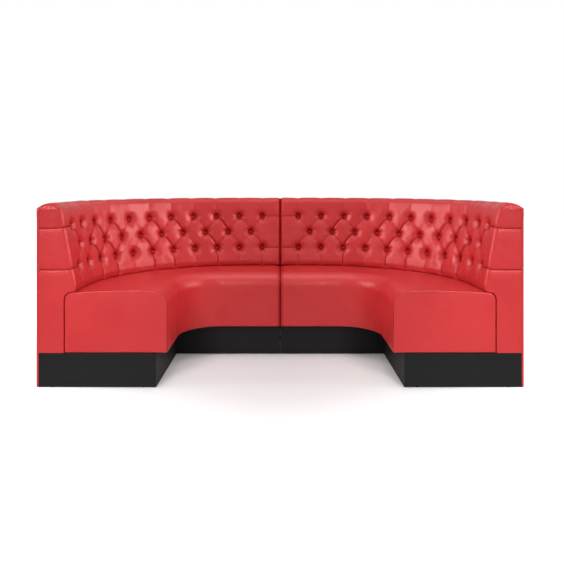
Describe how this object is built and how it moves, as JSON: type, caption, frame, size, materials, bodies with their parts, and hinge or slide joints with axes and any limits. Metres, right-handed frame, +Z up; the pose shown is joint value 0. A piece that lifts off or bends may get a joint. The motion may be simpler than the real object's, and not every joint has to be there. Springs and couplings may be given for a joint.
{
  "type": "round sofa",
  "caption": "Half-round banquette sofa in two bolted halves, with a deep-buttoned raked back, a smooth crowned seat and a recessed black plinth.",
  "frame": {"origin": "on the floor, under the middle of the whole sofa", "axes": "+X to the right seen from the open side, +Y from the open front to the curved back, +Z up"},
  "size_m": [2.2352, 1.1176, 0.845],
  "materials": {
    "red_vinyl": "satin",
    "foam": "matte",
    "plywood": "matte",
    "plinth_laminate": "satin",
    "glide_plastic": "matte",
    "clip_plastic": "matte",
    "spring_steel": "satin",
    "zinc_steel": "satin",
    "twine": "matte"
  },
  "bodies": {
    "root": {"back_buttons_left": "red_vinyl", "back_buttons_right": "red_vinyl", "back_cover_left": "red_vinyl", "back_cover_right": "red_vinyl", "back_end_board_left": "plywood", "back_end_board_right": "plywood", "back_foam_left": "foam", "back_foam_right": "foam", "back_lower_board_left": "plywood", "back_lower_board_right": "plywood", "back_ribs": "plywood", "back_seam_board_left": "plywood", "back_seam_board_right": "plywood", "back_top_rail_left": "plywood", "back_top_rail_right": "plywood", "back_tuft_board_left": "plywood", "back_tuft_board_right": "plywood", "base_deck_left": "plywood", "base_deck_right": "plywood", "button_ties": "twine", "deck_cleats": "plywood", "glides": "glide_plastic", "joining_bolts": "zinc_steel", "joining_nuts": "zinc_steel", "joining_spacers": "glide_plastic", "kick_back_board_left": "plinth_laminate", "kick_back_board_right": "plinth_laminate", "kick_end_board_left": "plinth_laminate", "kick_end_board_right": "plinth_laminate", "kick_seam_board_left": "plinth_laminate", "kick_seam_board_right": "plinth_laminate", "kick_side_board_left": "plinth_laminate", "kick_side_board_right": "plinth_laminate", "outer_cover_left": "red_vinyl", "outer_cover_right": "red_vinyl", "outer_panel_left": "plywood", "outer_panel_right": "plywood", "seat_base_left": "plywood", "seat_base_right": "plywood", "seat_bulkheads": "plywood", "seat_cover_left": "red_vinyl", "seat_cover_right": "red_vinyl", "seat_end_board_left": "plywood", "seat_end_board_right": "plywood", "seat_end_panel_left": "red_vinyl", "seat_end_panel_right": "red_vinyl", "seat_fascia_left": "plywood", "seat_fascia_right": "plywood", "seat_foam_left": "foam", "seat_foam_right": "foam", "seat_front_rail_left": "plywood", "seat_front_rail_right": "plywood", "seat_rear_rail_left": "plywood", "seat_rear_rail_right": "plywood", "seat_rear_wall_left": "plywood", "seat_rear_wall_right": "plywood", "seat_seam_board_left": "plywood", "seat_seam_board_right": "plywood", "seat_springs": "spring_steel", "spring_clips": "clip_plastic"}
  },
  "joints": []
}
